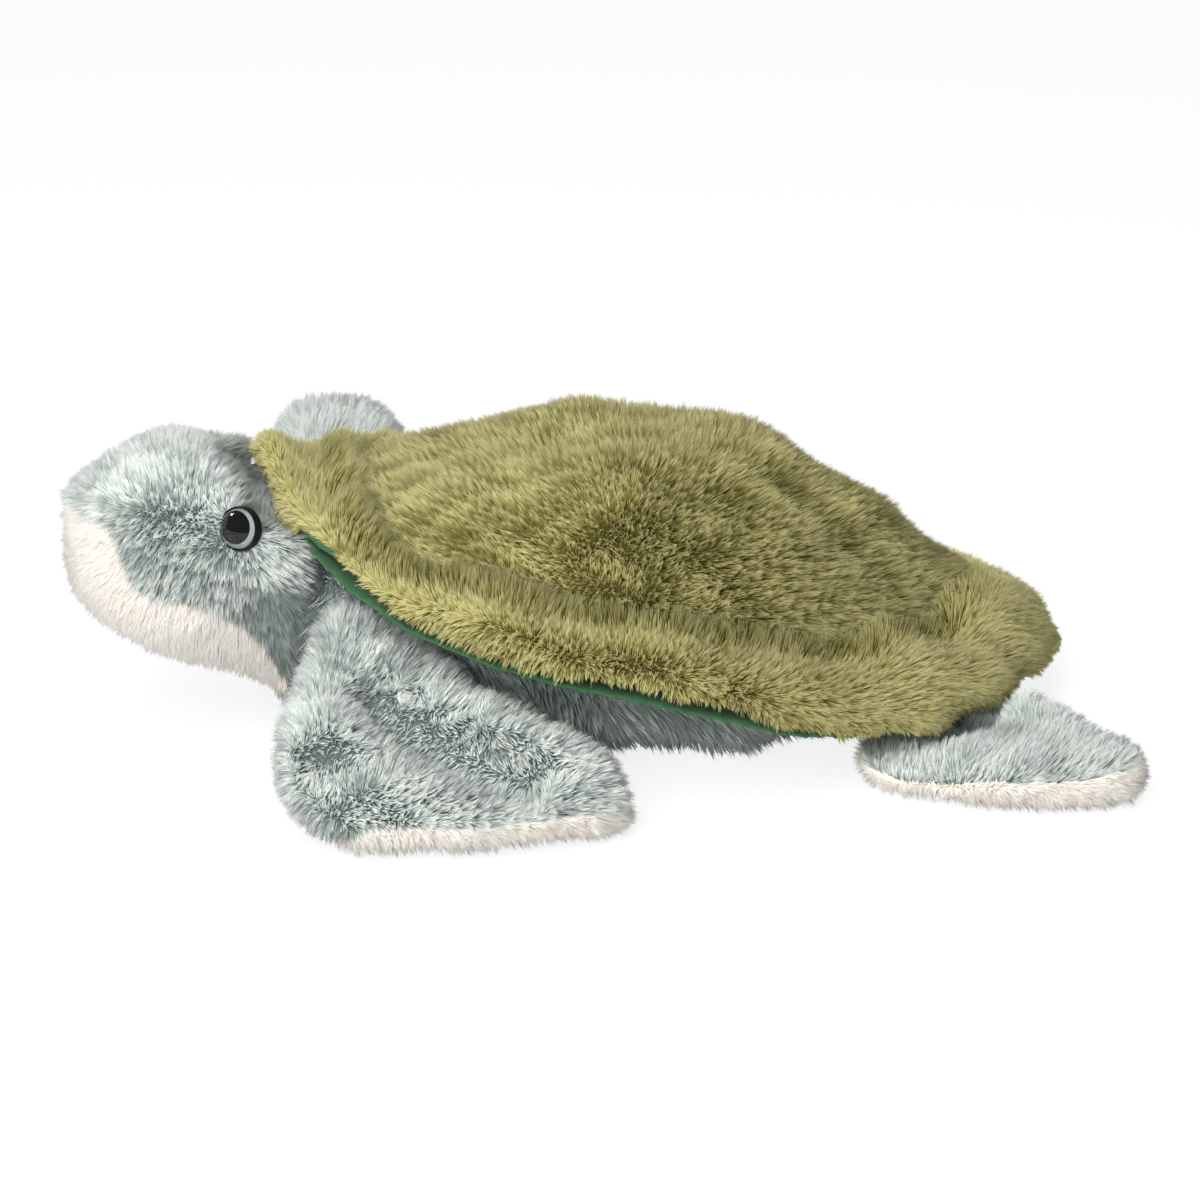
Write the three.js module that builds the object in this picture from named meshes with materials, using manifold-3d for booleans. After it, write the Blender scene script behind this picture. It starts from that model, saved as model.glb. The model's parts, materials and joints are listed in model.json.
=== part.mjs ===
// Plush sea turtle: sewn fur panels over stuffing, locked safety eyes and a stuffed shell with a brim.
// Millimetres. The head points to -X, the turtle's left side is -Y, +Z is up and the belly rests on z = 0.
import * as THREE from "three";
import Module from "manifold-3d";
import { mergeVertices } from "three/addons/utils/BufferGeometryUtils.js";

const wasm = await Module();
wasm.setup();

// Fabric, seams and clearances
const seamGap = 0.3;
const pileThickness = 5;
const liningThickness = 2.6;
const restCut = 0.5;
const overrun = 60;
const upward = () => new THREE.Vector3(0, 0, 1);

// Body
const neckX = -112;
const bodyTail = 152;
const bodyWidth = 172;
const bodyHeight = 100;
const bellySeamHeight = 11;

// Head
const headLength = 91;
const headWidth = 92;
const headHeight = 109;
const headBase = 9;
const throatSeamShare = 0.05;
const chinSeamShare = 0.33;
const muzzleTopShare = 0.68;
const muzzleDepthShare = 0.19;
const neckHingeHeight = 52;
const headNod = { min: -12, max: 8 };

// Shell
const shellFront = -128;
const shellLength = 307;
const shellWidth = 240;
const shellTailHeight = 15;
const shellRise = 83;
const shellDepth = 14;
const domeX = 18;
const domeBase = 70;
const domeRise = 43;
const rimCrown = 11;
const rimBelly = 4;

// Front flippers
const frontReach = 150;
const frontNose = -128;
const frontLength = 122;
const frontHeight = 74;
const frontHinge = { frontX: -108, frontY: 48, backX: -48, backY: 75, height: 38, min: -15, max: 6 };
const raisedReach = 156;
const raisedFront = -118;
const raisedChord = 57;
const raisedHeight = 83;

// Rear flippers
const rearReach = 135;
const rearFront = 82;
const rearLength = 98;
const rearHeight = 28;
const turnedReach = 150;
const turnedFront = 82;
const turnedChord = 42;
const rearHinge = { frontX: 88, frontY: 66, backX: 138, backY: 34, height: 8, min: -12, max: 3 };

// Safety eyes
const eyeDiameter = 17;
const eyeRimWall = 0.9;
const eyeIrisDepth = 2.2;
const eyeCupDepth = 3.4;
const eyeLensRise = 3.4;
const eyeStemDiameter = 5;
const eyeStemLength = 13;
const eyeWasherDiameter = 13;
const eyeWasherThickness = 1.6;
const eyeAlongShare = 0.976;
const eyeHeightShare = 0.6;
const eyeSit = 2.6;

// Faceting counts
const skinSteps = { ring: 14, loft: 9 };
const coreSteps = { ring: 8, loft: 5 };
const shellSteps = 26;
const domeRings = 4;
const eyeSteps = 16;

const furGrey = 0xaebcb9;
const furCream = 0xf3e6da;
const furOlive = 0x9a9350;
const velourGreen = 0x3f7350;
const fillWhite = 0xf4f4f0;

function cloth(color) {
  return new THREE.MeshStandardMaterial({ color, roughness: 0.95, metalness: 0 });
}

const finishes = {
  grey: cloth(furGrey),
  cream: cloth(furCream),
  olive: cloth(furOlive),
  velour: cloth(velourGreen),
  stuffing: cloth(fillWhite),
  blackPlastic: new THREE.MeshStandardMaterial({ color: 0x101010, roughness: 0.2, metalness: 0 }),
  iris: new THREE.MeshStandardMaterial({ color: 0x8c9793, roughness: 0.35, metalness: 0 }),
  lens: new THREE.MeshStandardMaterial({ color: 0xe8eef0, roughness: 0.05, metalness: 0 }),
  washer: new THREE.MeshStandardMaterial({ color: 0xe6e6e6, roughness: 0.5, metalness: 0 }),
};

// Closed solids from grids of points
function gridSolid(rings, { closedLoop = false } = {}) {
  const count = rings[0].length;
  const points = rings.flat();
  const faces = [];
  const last = closedLoop ? rings.length : rings.length - 1;
  for (let i = 0; i < last; i += 1) {
    const here = i * count;
    const next = ((i + 1) % rings.length) * count;
    for (let j = 0; j < count; j += 1) {
      const k = (j + 1) % count;
      faces.push([here + j, next + j, next + k], [here + j, next + k, here + k]);
    }
  }
  if (!closedLoop) {
    for (const [ring, flip] of [
      [0, false],
      [rings.length - 1, true],
    ]) {
      const middle = new THREE.Vector3();
      rings[ring].forEach((p) => middle.addScaledVector(p, 1 / count));
      points.push(middle);
      const hub = points.length - 1;
      for (let j = 0; j < count; j += 1) {
        const k = (j + 1) % count;
        const [a, b] = flip ? [ring * count + k, ring * count + j] : [ring * count + j, ring * count + k];
        faces.push([hub, a, b]);
      }
    }
  }
  return solidOf(points, faces);
}

function solidOf(points, faces) {
  const build = (turned) => new wasm.Manifold(new wasm.Mesh({
    numProp: 3,
    vertProperties: new Float32Array(points.flatMap((p) => [p.x, p.y, p.z])),
    triVerts: new Uint32Array(faces.flatMap(([a, b, c]) => (turned ? [a, c, b] : [a, b, c]))),
  }));
  const solid = build(false);
  return solid.volume() > 0 ? solid : build(true);
}

function solidFromGeometry(geometry) {
  const bare = geometry.clone();
  bare.deleteAttribute("normal");
  bare.deleteAttribute("uv");
  const merged = mergeVertices(bare, seamGap / 1000);
  return new wasm.Manifold(new wasm.Mesh({
    numProp: 3,
    vertProperties: new Float32Array(merged.attributes.position.array),
    triVerts: new Uint32Array(merged.index.array),
  }));
}

function largestPiece(solid) {
  return solid.decompose().reduce((a, b) => (a.volume() > b.volume() ? a : b));
}

function meshNamed(name, solid, material) {
  const kept = largestPiece(solid).getMesh();
  const geometry = new THREE.BufferGeometry();
  geometry.setAttribute("position", new THREE.BufferAttribute(new Float32Array(kept.vertProperties), 3));
  geometry.setIndex(new THREE.BufferAttribute(new Uint32Array(kept.triVerts), 1));
  geometry.computeVertexNormals();
  const mesh = new THREE.Mesh(geometry, material);
  mesh.name = name;
  return mesh;
}

// A half space as a large slab: everything on the side of the plane that the normal points to
function sideOf(normal, point) {
  const size = 20 * overrun;
  const turn = new THREE.Quaternion().setFromUnitVectors(upward(), normal.clone().normalize());
  const box = new THREE.BoxGeometry(size, size, size).translate(0, 0, size / 2);
  box.applyQuaternion(turn).translate(point.x, point.y, point.z);
  return solidFromGeometry(box);
}

// Rows of a table blended by a Catmull-Rom spline; a share of 0 is the first row and 1 the last
function blendRows(rows, share, closed = false) {
  const spans = closed ? rows.length : rows.length - 1;
  const at = share * spans;
  const i = Math.min(Math.floor(at), spans - 1);
  const t = at - i;
  const wrap = (k) => (k + rows.length) % rows.length;
  const clamp = (k) => Math.max(0, Math.min(rows.length - 1, k));
  const pick = (k) => rows[closed ? wrap(k) : clamp(k)];
  const [a, b, c, d] = [pick(i - 1), pick(i), pick(i + 1), pick(i + 2)];
  return b.map((v, k) => {
    const slopeHere = (c[k] - a[k]) / 2;
    const slopeNext = (d[k] - b[k]) / 2;
    const t2 = t * t;
    const t3 = t2 * t;
    const leave = v * (2 * t3 - 3 * t2 + 1) + slopeHere * (t3 - 2 * t2 + t);
    return leave + c[k] * (3 * t2 - 2 * t3) + slopeNext * (t3 - t2);
  });
}

const roundnessShares = { top: 0.85, bottom: 0.62, belly: 0.42 };
const pinchShare = 0.42;
const waistShare = 0.45;

// The inset of a hollow or core, less where the form is too thin to take all of it
const insetWithin = (inset, room) => Math.min(inset, (inset / (pileThickness + seamGap)) * pinchShare * room);

// A stuffed form: sections stand across one axis, each with two sides, a bottom and a top at either side.
// Table rows are shares of the box: [along, near side, far side, bottom, top near, top far].
function stuffedForm({ rows, along, across, height, swap = false, floor = roundnessShares.bottom }, inset) {
  const steps = inset > 0 ? coreSteps : skinSteps;
  const lerp = ([from, to], share) => from + (to - from) * share;
  const rings = [];
  for (let i = 0; i <= steps.loft; i += 1) {
    const eased = (1 - Math.cos((Math.PI * i) / steps.loft)) / 2;
    const row = blendRows(rows, (eased + i / steps.loft) / 2);
    const [from, to] = along;
    const pull = (inset * Math.sign(to - from) * (0.5 - row[0])) / 0.5;
    const u = lerp(along, row[0]) + pull;
    const [near, far] = [lerp(across, row[1]), lerp(across, row[2])];
    const [low, highNear, highFar] = row.slice(3).map((share) => lerp(height, share));
    const width = Math.abs(far - near);
    const halfSide = Math.sign(far - near) * (width / 2 - insetWithin(inset, width));
    const sink = insetWithin(inset, Math.min(highNear, highFar) - low);
    const bottom = low + sink;
    const topNear = highNear - sink;
    const topFar = highFar - sink;
    const waist = bottom + (Math.min(topNear, topFar) - bottom) * waistShare;
    const ring = [];
    for (let j = 0; j < steps.ring; j += 1) {
      const angle = (2 * Math.PI * (j + 0.5)) / steps.ring;
      const round = Math.sin(angle) > 0 ? roundnessShares.top : floor;
      const side = Math.sign(Math.cos(angle)) * Math.abs(Math.cos(angle)) ** round;
      const lift = Math.abs(Math.sin(angle)) ** round;
      const top = topNear + ((topFar - topNear) * (side + 1)) / 2;
      const z = Math.sin(angle) > 0 ? waist + (top - waist) * lift : waist - (waist - bottom) * lift;
      const v = (near + far) / 2 + halfSide * side;
      ring.push(swap ? new THREE.Vector3(v, u, z) : new THREE.Vector3(u, v, z));
    }
    rings.push(ring);
  }
  return gridSolid(rings);
}

// The shell's crease, where dome and brim meet, and the brim's lower edge, from the front tip to the tail.
// Rows are shares of the shell's length, half width and rise.
const creaseShares = [
  [0.13, 0, 1], [0.12, 0.22, 0.99], [0.125, 0.38, 0.94], [0.165, 0.53, 0.8], [0.25, 0.66, 0.745],
  [0.38, 0.73, 0.65], [0.51, 0.73, 0.57], [0.65, 0.63, 0.41], [0.755, 0.46, 0.36], [0.85, 0.21, 0.32],
  [0.885, 0, 0.31],
];
const edgeShares = [
  [0, 0, 0.93], [0.035, 0.31, 0.89], [0.08, 0.54, 0.74], [0.15, 0.72, 0.61], [0.265, 0.885, 0.51],
  [0.385, 0.975, 0.43], [0.515, 1, 0.32], [0.69, 0.92, 0.12], [0.8, 0.77, 0.03], [0.91, 0.43, 0.03],
  [1, 0, 0.02],
];

function allRound(shares) {
  const right = shares.slice(1, -1).reverse().map(([x, y, z]) => [x, -y, z]);
  return [...shares, ...right];
}

function shellPoint(shares, around) {
  const [x, y, z] = blendRows(allRound(shares), around, true);
  const height = shellTailHeight + shellRise * z;
  return new THREE.Vector3(shellFront + shellLength * x, (-shellWidth / 2) * y, height);
}

const down = (p, drop) => new THREE.Vector3(p.x, p.y, p.z - drop);

function rimFrame(around) {
  const crease = shellPoint(creaseShares, around);
  const edge = shellPoint(edgeShares, around);
  const step = 1 / shellSteps;
  const before = shellPoint(edgeShares, (around + 1 - step) % 1);
  const run = shellPoint(edgeShares, (around + step) % 1).sub(before);
  const outward = edge.clone().sub(crease);
  const normal = run.clone().cross(outward).normalize();
  normal.multiplyScalar(Math.sign(normal.z));
  const floor = down(crease, shellDepth);
  const under = run.clone().cross(edge.clone().sub(floor)).normalize();
  under.multiplyScalar(Math.sign(under.z));
  return { crease, edge, floor, normal, under };
}

const crownPower = 2.6;
const crownShape = (share) => 1 - Math.abs(2 * share - 1) ** crownPower;
const bellyShape = (share) => 1 - (2 * share - 1) ** 2;

function rimTop(frame, share, inset) {
  const p = frame.crease.clone().lerp(frame.edge, share);
  return p.addScaledVector(frame.normal, rimCrown * crownShape(share) - inset);
}

function rimUnder(frame, share, inset) {
  const p = frame.floor.clone().lerp(frame.edge, share);
  return p.addScaledVector(frame.under, inset - rimBelly * bellyShape(share));
}

function sweptRim(section) {
  const rings = [];
  for (let i = 0; i < shellSteps; i += 1) {
    rings.push(section(rimFrame(i / shellSteps)));
  }
  return gridSolid(rings, { closedLoop: true });
}

// Inner faces of the brim's two cloths, which the stuffing between them follows
const rimInnerShares = [0.84, 0.66, 0.42, 0.17];
const liningInnerShares = [0.07, 0.3, 0.57, 0.84];

function rimPanel() {
  const outerShares = [0, 0.08, 0.25, 0.5, 0.75, 0.92, 1];
  return sweptRim((f) => [
    ...outerShares.map((s) => rimTop(f, s, 0)),
    ...rimInnerShares.map((s) => rimTop(f, s, pileThickness)),
  ]);
}

function shellLining() {
  const outerShares = [0.98, 0.85, 0.6, 0.3, 0.02];
  return sweptRim((f) => [
    ...outerShares.map((s) => rimUnder(f, s, 0)),
    ...liningInnerShares.map((s) => rimUnder(f, s, liningThickness)),
  ]);
}

function rimFilling() {
  return sweptRim((f) => [
    ...rimInnerShares.map((s) => rimTop(f, s, pileThickness + seamGap)),
    ...liningInnerShares.map((s) => rimUnder(f, s, liningThickness + seamGap)),
  ]);
}

// The dome swells from a base that climbs to the crease, later and more steeply towards the front
const domePowers = { climb: 1.7, frontClimb: 2.8, swell: 2.4, shoulder: 0.9 };
const domeInsetFade = 0.7;

function domeTop(share, around, inset) {
  const crease = shellPoint(creaseShares, around);
  const flat = new THREE.Vector2(crease.x - domeX, crease.y);
  const reach = flat.length();
  const forward = Math.max(0, -flat.x / reach) ** 2;
  const climb = share ** (domePowers.climb + domePowers.frontClimb * forward);
  const swell = (1 - share ** domePowers.swell) ** domePowers.shoulder;
  const kept = 1 - inset / reach;
  const base = domeBase + (crease.z - domeBase) * climb;
  return new THREE.Vector3(
    domeX + flat.x * share * kept,
    flat.y * share * kept,
    base + domeRise * swell - inset * (1 - domeInsetFade * share),
  );
}

function domeFloor(share, around) {
  const crease = shellPoint(creaseShares, around);
  const low = domeBase - shellDepth;
  const x = domeX + (crease.x - domeX) * share;
  return new THREE.Vector3(x, crease.y * share, low + (crease.z - shellDepth - low) * share ** 2);
}

const ringAround = (point) => Array.from({ length: shellSteps }, (_, j) => point(j / shellSteps));

// Everything above the shell's underside as one solid; it is grown to cut the other pieces with a gap
function shellEnvelope(grow) {
  const wide = (p) => {
    const widened = 1 + (5 * grow) / Math.hypot(p.x - domeX, p.y);
    return new THREE.Vector3(domeX + (p.x - domeX) * widened, p.y * widened, p.z);
  };
  const edge = (a) => wide(rimUnder(rimFrame(a), 1, 0));
  const rings = [ringAround((a) => down(edge(a), -shellRise)), ringAround((a) => down(edge(a), grow))];
  for (const s of [0.85, 0.6, 0.3]) {
    rings.push(ringAround((a) => down(rimUnder(rimFrame(a), s, 0), grow)));
  }
  rings.push(...[1, 0.5].map((s) => ringAround((a) => down(domeFloor(s, a), grow))));
  return gridSolid(rings);
}

// The dome as one closed solid, pulled in by an inset, down to the shell's underside
function domeSolid(inset) {
  const shares = Array.from({ length: domeRings }, (_, i) => Math.sin((Math.PI / 2) * ((i + 1) / domeRings)));
  const rings = shares.map((s) => ringAround((a) => domeTop(s, a, inset)));
  rings.push(ringAround((a) => down(domeTop(1, a, inset), overrun)));
  return gridSolid(rings);
}

// A hinge along a straight seam. Turning it by a positive angle lifts the limb.
function seamHinge({ from, to, outward, min, max }) {
  const axis = to.clone().sub(from).normalize();
  return { from, axis, outward: outward.clone().normalize(), min, max };
}

const degrees = (angle) => (angle * Math.PI) / 180;

function turned(solid, hinge, angle) {
  const { from, axis } = hinge;
  const m = new THREE.Matrix4().makeTranslation(from.x, from.y, from.z);
  m.multiply(new THREE.Matrix4().makeRotationAxis(axis, degrees(angle)));
  m.multiply(new THREE.Matrix4().makeTranslation(-from.x, -from.y, -from.z));
  return solid.transform(m.elements);
}

// The limb's root is a wedge whose edge lies on the seam, so that it clears the body at both limits.
// It is also cut by the shell at these shares of its swing down, below 0, and up, above 0.
const sweepShares = [-1, -0.75, -0.5, -0.25, 0, 0.5, 1];

function limbCut(solid, hinge, envelope) {
  let cut = solid;
  for (const angle of [hinge.min, hinge.max]) {
    const normal = hinge.outward.clone().applyAxisAngle(hinge.axis, degrees(-angle));
    const point = hinge.from.clone().addScaledVector(hinge.outward, seamGap);
    cut = cut.intersect(sideOf(normal, point));
  }
  for (const share of sweepShares) {
    const angle = share < 0 ? -share * hinge.min : share * hinge.max;
    cut = cut.subtract(turned(envelope, hinge, -angle));
  }
  return cut;
}

// The space on the sole's side of a seam plane, moved towards the top by a distance
function planeSeam({ normal, point }) {
  return (shift) => {
    const up = normal.clone().normalize();
    return sideOf(up.clone().negate(), point.clone().addScaledVector(up, shift));
  };
}

const levelSeam = (height) => planeSeam({ normal: upward(), point: new THREE.Vector3(0, 0, height) });

// Two sewn panels and the stuffing inside them; the seam gives the space that the sole panel fills
function sewnPieces(form, seam, cut) {
  const outer = stuffedForm(form, 0);
  const skin = outer.subtract(stuffedForm(form, pileThickness));
  return {
    top: largestPiece(cut(skin.subtract(seam(seamGap / 2)))),
    sole: largestPiece(cut(skin.intersect(seam(-seamGap / 2)))),
    filling: largestPiece(cut(stuffedForm(form, pileThickness + 2 * seamGap))),
  };
}

const aboveFloor = (solid) => solid.intersect(sideOf(new THREE.Vector3(0, 0, 1), new THREE.Vector3()));

const envelope = shellEnvelope(2 * seamGap);

const headShares = [
  [0, 0.42, 0.58, 0.58, 0.73, 0.73], [0.05, 0.27, 0.73, 0.46, 0.83, 0.83],
  [0.16, 0.14, 0.86, 0.34, 0.93, 0.93], [0.34, 0.05, 0.95, 0.23, 0.985, 0.985],
  [0.53, 0.01, 0.99, 0.175, 1, 1], [0.72, 0, 1, 0.14, 0.95, 0.95],
  [0.88, 0.01, 0.99, 0.06, 0.87, 0.87], [1.06, 0.03, 0.97, 0, 0.8, 0.8],
];
const headForm = {
  rows: headShares,
  along: [neckX - headLength, neckX],
  across: [-headWidth / 2, headWidth / 2],
  height: [headBase, headBase + headHeight],
};

const bodyShares = [
  [-0.02, 0.25, 0.75, 0.1, 0.84, 0.84], [0.06, 0.18, 0.82, 0.03, 0.88, 0.88],
  [0.16, 0.11, 0.89, 0, 0.92, 0.92], [0.28, 0.045, 0.955, 0, 0.94, 0.94],
  [0.42, 0, 1, 0, 0.9, 0.9], [0.57, 0.005, 0.995, 0, 0.8, 0.8],
  [0.72, 0.08, 0.92, 0, 0.6, 0.6], [0.85, 0.2, 0.8, 0, 0.42, 0.42],
  [0.95, 0.32, 0.68, 0.02, 0.3, 0.3], [1, 0.42, 0.58, 0.06, 0.22, 0.22],
];
const bodyForm = {
  rows: bodyShares,
  along: [neckX, bodyTail],
  across: [-bodyWidth / 2, bodyWidth / 2],
  height: [-restCut, bodyHeight],
  floor: roundnessShares.belly,
};

// The swept-back left flipper, whose rows run from its leading edge to its tip
const sweptShares = [
  [0, 0.56, 0.76, 0.28, 0.52, 0.46], [0.04, 0.42, 0.84, 0.14, 0.68, 0.46],
  [0.13, 0.22, 0.92, 0.04, 0.84, 0.38], [0.26, 0, 0.99, 0, 0.96, 0.34],
  [0.4, 0, 1, 0, 0.96, 0.3], [0.55, 0.14, 1, 0, 0.84, 0.28],
  [0.7, 0.43, 0.99, 0, 0.68, 0.27], [0.84, 0.56, 0.97, 0, 0.55, 0.27],
  [0.94, 0.68, 0.93, 0.02, 0.42, 0.26], [1, 0.78, 0.87, 0.08, 0.26, 0.2],
];
// The raised right flipper, whose rows run outwards from the shoulder to its tip
const raisedShares = [
  [0, 0.05, 1.15, 0.1, 0.8, 0.8], [0.25, 0.05, 1.1, 0.14, 0.8, 0.8], [0.5, 0.02, 1.02, 0.24, 0.84, 0.82],
  [0.72, 0, 0.98, 0.42, 0.95, 0.92], [0.88, 0.04, 0.95, 0.54, 1, 0.97], [0.97, 0.14, 0.86, 0.64, 0.97, 0.94],
  [1, 0.3, 0.7, 0.72, 0.9, 0.88],
];
// The turned-out right rear flipper, whose rows run outwards from the tail to its tip
const turnedShares = [
  [0, 0.1, 1.25, 0, 0.45, 0.45], [0.25, 0.06, 1.14, 0, 0.5, 0.5], [0.5, 0.02, 1.04, 0, 0.66, 0.62],
  [0.74, 0, 1, 0, 0.9, 0.84], [0.9, 0.06, 0.9, 0.03, 0.88, 0.82], [0.97, 0.18, 0.78, 0.12, 0.76, 0.72],
  [1, 0.36, 0.6, 0.25, 0.6, 0.58],
];
const rearShares = [
  [0, 0.54, 0.64, 0.04, 0.46, 0.42], [0.05, 0.42, 0.72, 0, 0.47, 0.44], [0.14, 0.22, 0.82, 0, 0.46, 0.46],
  [0.27, 0.12, 0.9, 0, 0.48, 0.54], [0.4, 0.04, 0.94, 0, 0.54, 0.66], [0.52, 0, 0.97, 0, 0.68, 0.78],
  [0.63, 0.26, 0.98, 0, 0.86, 0.82], [0.76, 0.5, 1, 0, 1, 0.8], [0.88, 0.65, 0.99, 0.02, 0.94, 0.76],
  [0.96, 0.74, 0.95, 0.1, 0.8, 0.7], [1, 0.82, 0.9, 0.25, 0.6, 0.56],
];

function sideHinge(size, side) {
  const front = new THREE.Vector3(size.frontX, side * size.frontY, size.height);
  const back = new THREE.Vector3(size.backX, side * size.backY, size.height);
  const [from, to] = side < 0 ? [front, back] : [back, front];
  const outward = new THREE.Vector3(0, 0, 1).cross(to.clone().sub(from));
  outward.multiplyScalar(Math.sign(outward.y) * side);
  const hinge = seamHinge({ from, to, outward, min: size.min, max: size.max });
  const tip = hinge.outward.clone().applyAxisAngle(hinge.axis, degrees(1));
  if (tip.z < 0) {
    hinge.axis.negate();
  }
  return hinge;
}

const hinges = {
  head: seamHinge({
    from: new THREE.Vector3(neckX, 0, neckHingeHeight),
    to: new THREE.Vector3(neckX, 1, neckHingeHeight),
    outward: new THREE.Vector3(-1, 0, 0),
    min: headNod.min,
    max: headNod.max,
  }),
  frontLeft: sideHinge(frontHinge, -1),
  frontRight: sideHinge(frontHinge, 1),
  rearLeft: sideHinge(rearHinge, -1),
  rearRight: sideHinge(rearHinge, 1),
};

const rootY = frontHinge.frontY - pileThickness;
const rearRootY = rearHinge.backY - pileThickness;
const flippers = {
  frontLeft: {
    form: {
      rows: sweptShares,
      along: [frontNose, frontNose + frontLength],
      across: [-rootY, -frontReach],
      height: [-restCut, frontHeight],
    },
    seam: planeSeam({
      normal: new THREE.Vector3(-0.07, 0, 1),
      point: new THREE.Vector3(frontHinge.backX, 0, bellySeamHeight),
    }),
    hinge: hinges.frontLeft,
  },
  frontRight: {
    form: {
      rows: raisedShares,
      along: [rootY, raisedReach],
      across: [raisedFront, raisedFront + raisedChord],
      height: [0, raisedHeight],
      swap: true,
    },
    seam: planeSeam({
      normal: new THREE.Vector3(0, -0.42, 1),
      point: new THREE.Vector3(0, frontHinge.frontY, frontHinge.height - bellySeamHeight),
    }),
    hinge: hinges.frontRight,
  },
  rearLeft: {
    form: {
      rows: rearShares,
      along: [rearFront, rearFront + rearLength],
      across: [-rearRootY, -rearReach],
      height: [-restCut, rearHeight],
    },
    seam: levelSeam(rearHeight / 3),
    hinge: hinges.rearLeft,
  },
  rearRight: {
    form: {
      rows: turnedShares,
      along: [rearRootY, turnedReach],
      across: [turnedFront, turnedFront + turnedChord],
      height: [-restCut, rearHeight],
      swap: true,
    },
    seam: levelSeam(rearHeight / 3),
    hinge: hinges.rearRight,
  },
};

// The body is trimmed flat where each limb is sewn on
function bodyCut(solid) {
  let cut = aboveFloor(solid).subtract(envelope);
  for (const hinge of Object.values(hinges)) {
    cut = cut.intersect(sideOf(hinge.outward.clone().negate(), hinge.from));
  }
  return cut;
}

function bodyGroup() {
  const pieces = sewnPieces(bodyForm, levelSeam(bellySeamHeight), bodyCut);
  const group = new THREE.Group();
  group.add(
    meshNamed("body_side_panel", pieces.top, finishes.grey),
    meshNamed("belly_panel", pieces.sole, finishes.cream),
    meshNamed("body_filling", pieces.filling, finishes.stuffing),
  );
  return group;
}

function shellGroup() {
  const inside = shellEnvelope(0);
  const dome = domeSolid(seamGap).subtract(domeSolid(pileThickness + seamGap));
  const filling = domeSolid(pileThickness + 2 * seamGap);
  const group = new THREE.Group();
  group.add(
    meshNamed("shell_dome_panel", dome.intersect(inside), finishes.olive),
    meshNamed("shell_dome_filling", filling.intersect(inside), finishes.stuffing),
    meshNamed("shell_rim_panel", rimPanel(), finishes.olive),
    meshNamed("shell_rim_filling", rimFilling(), finishes.stuffing),
    meshNamed("shell_lining", shellLining(), finishes.velour),
  );
  return group;
}

function flipperGroup(name, { form, seam, hinge }) {
  const pieces = sewnPieces(form, seam, (solid) => limbCut(aboveFloor(solid), hinge, envelope));
  const group = new THREE.Group();
  group.add(
    meshNamed(`${name}_flipper_top_panel`, pieces.top, finishes.grey),
    meshNamed(`${name}_flipper_sole_panel`, pieces.sole, finishes.cream),
    meshNamed(`${name}_flipper_filling`, pieces.filling, finishes.stuffing),
  );
  return group;
}

// A safety eye turned on its own axis: a black cup with its stem, a painted iris, a clear lens and a washer
function lathed(outline) {
  const points = outline.map(([r, z]) => new THREE.Vector2(r, z));
  return solidFromGeometry(new THREE.LatheGeometry(points, eyeSteps).rotateX(Math.PI / 2));
}

function eyeSolids() {
  const r = eyeDiameter / 2;
  const bore = r - eyeRimWall;
  const stem = eyeStemDiameter / 2;
  const irisTop = eyeCupDepth - eyeIrisDepth / 2;
  const lensRise = (share) => irisTop + seamGap + eyeLensRise * Math.sqrt(1 - share ** 2);
  const lensR = bore - seamGap;
  const washerTop = -pileThickness - seamGap;
  const washerLow = washerTop - eyeWasherThickness;
  const stemEnd = -eyeStemLength;
  const stemRoom = stem + seamGap;
  const washerRoom = eyeWasherDiameter / 2 + seamGap;
  return {
    shank: lathed([
      [0, stemEnd], [stem * 0.7, stemEnd], [stem, stemEnd + stem], [stem, 0], [r * 0.85, 0],
      [r, eyeCupDepth * 0.45], [r, eyeCupDepth], [bore, eyeCupDepth], [bore, eyeRimWall], [0, eyeRimWall],
    ]),
    iris: lathed([[0, eyeRimWall + seamGap], [lensR, eyeRimWall + seamGap], [lensR, irisTop], [0, irisTop]]),
    lens: lathed([
      [0, irisTop + seamGap], [lensR, irisTop + seamGap], [lensR, lensRise(0.97)],
      ...[0.85, 0.6, 0.3, 0].map((share) => [lensR * share, lensRise(share)]),
    ]),
    washer: lathed([
      [stemRoom, washerLow], [eyeWasherDiameter / 2, washerLow], [eyeWasherDiameter / 2, washerTop],
      [stemRoom, washerTop], [stemRoom, washerLow],
    ]),
    room: lathed([
      [0, stemEnd - seamGap], [stemRoom, stemEnd - seamGap], [stemRoom, washerLow - seamGap],
      [washerRoom, washerLow - seamGap], [washerRoom, washerTop + seamGap / 2],
      [stemRoom, washerTop + seamGap / 2], [stemRoom, -seamGap], [r + seamGap, -seamGap],
      [r + seamGap, overrun], [0, overrun],
    ]),
  };
}

// The way an eye faces on the right side; the search finds where that ray leaves the head
const eyeLookShares = [-0.46, 0.84, 0.28];
const searchSteps = 14;

function eyePlace(side) {
  const x = neckX - headLength * (1 - eyeAlongShare);
  const z = headBase + headHeight * eyeHeightShare;
  const direction = new THREE.Vector3(...eyeLookShares).normalize();
  direction.y *= side;
  const probe = new THREE.Vector3(x, 0, z);
  const outline = stuffedForm(headForm, 0);
  let low = 0;
  let high = headWidth;
  const reaches = (reach) => {
    const at = probe.clone().addScaledVector(direction, reach);
    const size = seamGap / 3;
    const grain = solidFromGeometry(new THREE.BoxGeometry(size, size, size).translate(at.x, at.y, at.z));
    return outline.intersect(grain).volume() > 0;
  };
  for (let i = 0; i < searchSteps; i += 1) {
    const middle = (low + high) / 2;
    [low, high] = reaches(middle) ? [middle, high] : [low, middle];
  }
  const seat = probe.addScaledVector(direction, low - eyeSit);
  const turn = new THREE.Quaternion().setFromUnitVectors(new THREE.Vector3(0, 0, 1), direction);
  return new THREE.Matrix4().compose(seat, turn, new THREE.Vector3(1, 1, 1));
}

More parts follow.
